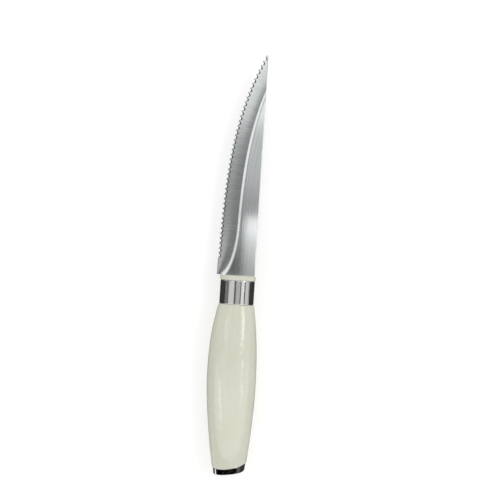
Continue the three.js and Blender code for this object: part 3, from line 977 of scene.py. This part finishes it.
# From one angle to another, and the grey.
FERRULE_CARDS = (
    (-68, -41, 0.22), (-41, -10.5, 0.76), (-10.5, -3.3, 0.13), (-3.3, 11, 0.55), (11, 15.5, 0.08),
    (15.5, 33, 0.92), (33, 40, 0.06), (40, 65, 0.72), (65, 73.5, 0.3),
)
# From one angle to another, the far end, and pairs of a place along the knife and the grey there.
BLADE_CARDS = (
    (-56, -28, 1.0, ((0, 0.3),)),
    (-28, -14, FAR, ((0, 0.8), (0.077, 1.0), (0.14, 1.3))),
    (-14, -5.5, FAR, ((0, 0.22), (0.04, 0.28), (0.14, 0.28), (0.2, 0.36))),
    (-5.5, -1.5, FAR, (
        (0, 0.78), (0.03, 0.46), (0.077, 0.38), (0.11, 0.46), (0.17, 0.5), (0.2, 0.7), (0.22, 1.0),
    )),
    (-1.5, 0.25, FAR, (
        (-0.023, 0.13), (0, 0.17), (0.03, 0.3), (0.077, 0.47), (0.11, 0.62), (0.155, 0.9),
        (0.21, 1.2),
    )),
    (0.25, 9, FAR, (
        (-0.03, 0.6), (0.01, 1.0), (0.03, 1.4), (0.047, 1.4), (0.057, 0.48), (0.077, 0.5),
        (0.11, 0.68), (0.18, 0.75), (0.21, 1.2),
    )),
    (9, 12, FAR, ((0, 0.08),)),
)


def overhead(name, from_deg, to_deg, start, end, stops):
    """A card overhead between two angles; its first and last grey go on to its ends."""
    left, right = (aside(CARD_HEIGHT, angle) for angle in (from_deg, to_deg))
    stops = ((start, stops[0][1]), *stops, (end, stops[-1][1]))
    card(name, (left, CARD_HEIGHT), (right, CARD_HEIGHT), stops)


for number, (from_deg, to_deg, grey) in enumerate(FERRULE_CARDS):
    delay = STEEP_DELAY if max(abs(from_deg), abs(to_deg)) > STEEP_ANGLE else 0
    stops = ((FADE_END, REAR_GREY), (FADE_START - delay, grey))
    overhead(f"card_ferrule_{number}", from_deg, to_deg, REAR_END, BLADE_START, stops)
for number, (from_deg, to_deg, end, stops) in enumerate(BLADE_CARDS):
    overhead(f"card_blade_{number}", from_deg, to_deg, BLADE_START, end, stops)
print("cards overhead:", len(FERRULE_CARDS) + len(BLADE_CARDS))

# %% [markdown]
# ## Glints on the handle
# Four narrow bright strips hang just under the cards. The waves in the handle break their mirror
# images into the short streaks and specks that glossy plastic shows. Lamps would do that too, but
# they would also light the floor.

# %% Glints
GLINT_HEIGHT = 0.89
# The grey, then the two ends: a place along the knife, and from one angle to another.
GLINTS = (
    (6.0, ((-0.02, -23.2, -21.5), (0.2, -39.2, -37.5))),
    (6.0, ((-0.44, -33, -27), (-0.3, -45, -39))),
    (6.0, ((-0.21, 34, 38), (-0.13, 32, 35))),
    (7.0, ((-0.33, 33, 42), (-0.29, 33, 42))),
)


def glint_rung(y, from_deg, to_deg, grey):
    """One rung of a glint strip, between two angles from overhead."""
    left, right = (aside(GLINT_HEIGHT, angle) for angle in (from_deg, to_deg))
    return (left, y, GLINT_HEIGHT), (right, y, GLINT_HEIGHT), grey


for number, (grey, course) in enumerate(GLINTS):
    strip(f"card_glint_{number}", [glint_rung(*rung, grey) for rung in course])
print("glints:", len(GLINTS))

# %% [markdown]
# ## A dark strip for the teeth
# The scallops look out over the edge, at a part of the room that no card overhead reaches. One dark
# strip follows the edge a few millimetres above it, so every scallop gets a dark outline.

# %% Strip along the teeth
TEETH_STRIP_RISE = 6.0
TEETH_STRIP_ANGLES = (26, 62)
TEETH_STRIP_GREY = 0.01
TEETH_STRIP_RUNGS = 40

strip_along = np.linspace(0, EDGE_LENGTH, TEETH_STRIP_RUNGS)
strip_point, strip_inward = on_edge(strip_along)
strip_rise = np.full(TEETH_STRIP_RUNGS, TEETH_STRIP_RISE)
strip_sides = [
    np.column_stack([strip_point - strip_inward * aside(TEETH_STRIP_RISE, angle), strip_rise])
    for angle in TEETH_STRIP_ANGLES
]
near_side, far_side = ((side_points * MM + ORIGIN).tolist() for side_points in strip_sides)
strip("card_teeth", [(a, b, TEETH_STRIP_GREY) for a, b in zip(near_side, far_side)])
print("rungs along the teeth:", TEETH_STRIP_RUNGS)

# %% [markdown]
# ## A hood behind the butt, and far backdrops
# The cap looks back along the knife, so a low dark hood stands behind it, lighter on the side of the
# blade's back. Far away three grey backdrops stand round the knife. The photograph's view doesn't
# meet them, but from other sides they keep the blade from looking white.

# %% Hood and backdrops
HOOD_HEIGHT = 0.06
HOOD_START = -0.126
HOOD_END = -0.25
HOOD_CARDS = ((-0.17, 0.05, 0.0), (0.05, 0.17, 0.13))
HOOD_COURSE = ((HOOD_END, 0.0), (HOOD_END, HOOD_HEIGHT), (HOOD_START, HOOD_HEIGHT))
BACKDROP_FAR = 1.6
BACKDROP_HALF = 2.2
BACKDROP_NEAR_Y = -0.02
BACKDROP_FAR_Y = 1.5
# Pairs of a height and the grey there.
BACKDROP_COURSE = ((0.12, 0.4), (1.7, 0.62))
BACKDROPS = (
    ("rear", (-BACKDROP_HALF, -BACKDROP_FAR), (BACKDROP_HALF, -BACKDROP_FAR)),
    ("left", (-BACKDROP_FAR, BACKDROP_NEAR_Y), (-BACKDROP_FAR, BACKDROP_FAR_Y)),
    ("right", (BACKDROP_FAR, BACKDROP_NEAR_Y), (BACKDROP_FAR, BACKDROP_FAR_Y)),
)

for number, (left, right, grey) in enumerate(HOOD_CARDS):
    strip(f"card_hood_{number}", [((left, y, z), (right, y, z), grey) for y, z in HOOD_COURSE])
for name, start, end in BACKDROPS:
    rungs = [((*start, z), (*end, z), grey) for z, grey in BACKDROP_COURSE]
    strip(f"card_backdrop_{name}", rungs)
print("hood cards:", len(HOOD_CARDS), "backdrops:", len(BACKDROPS))

# %% [markdown]
# ## Low cards on the floor and beside it
# The steep sides of the ferrule, the handle and the cap mirror the floor and the foot of the room.
# Dark cards there draw their outlines against the white floor. Beside the butt one card is light, and
# it is the bright stripe on the cap.

# %% Low cards
LOW_LIFT = 0.0003
LOW_DARK = 0.05
LOW_LIGHT = 1.45
LOW_END = 1.0
LOW_SIDE = 0.5
LIGHT_END = -0.135
WALL_END = -0.02
# From one x to another, from one y to another, and the grey.
FLOOR_CARDS = (
    (-0.036, -0.016, -LOW_END, LOW_END, LOW_DARK),
    (-0.2, -0.036, LIGHT_END, LOW_END, LOW_DARK),
    (-0.2, -0.036, -LOW_END, LIGHT_END, LOW_LIGHT),
    (-LOW_SIDE, -0.2, -LOW_END, LOW_END, LOW_DARK),
    (0.016, LOW_SIDE, -LOW_END, LOW_END, LOW_DARK),
)
WALL_CARDS = (("left", -LOW_SIDE, 0.21), ("right", LOW_SIDE, 0.16))

for number, (left, right, start, end, grey) in enumerate(FLOOR_CARDS):
    stops = ((start, grey), (end, grey))
    card(f"card_floor_{number}", (left, LOW_LIFT), (right, LOW_LIFT), stops)
for name, x, top in WALL_CARDS:
    stops = ((-LOW_END, LOW_DARK), (WALL_END, LOW_DARK))
    card(f"card_wall_{name}", (x, 0), (x, top), stops)
print("floor cards:", len(FLOOR_CARDS), "wall cards:", len(WALL_CARDS))

# %% [markdown]
# ## The strip lamp
# One lamp leans to the back of the blade. It draws the long highlight on the front of the handle and
# gives the knife its soft shadow on the other side. Its power follows from the brightness that the
# highlight needs, times its area.

# %% Strip lamp
LAMP_ANGLE = math.radians(32)
LAMP_DISTANCE = 1.0
LAMP_WIDTH = 0.27
LAMP_START = -0.03
LAMP_END = 0.26
LAMP_RADIANCE = 4.2

lamp = bpy.data.objects.new("strip_lamp", bpy.data.lights.new("strip_lamp", "AREA"))
lamp.data.shape = "RECTANGLE"
lamp.data.size = LAMP_WIDTH
lamp.data.size_y = LAMP_END - LAMP_START
lamp.data.energy = LAMP_RADIANCE * math.pi * lamp.data.size * lamp.data.size_y
lamp.location = (
    LAMP_DISTANCE * math.sin(LAMP_ANGLE),
    (LAMP_START + LAMP_END) / 2,
    LAMP_DISTANCE * math.cos(LAMP_ANGLE),
)
lamp.rotation_euler = (0, LAMP_ANGLE, 0)
bpy.context.scene.collection.objects.link(lamp)
print("lamp:", round(lamp.data.energy, 2), "W")

# %% [markdown]
# ## Finish
# The Standard view shows colours as they are written.

# %% The end
bpy.context.scene.view_settings.view_transform = "Standard"
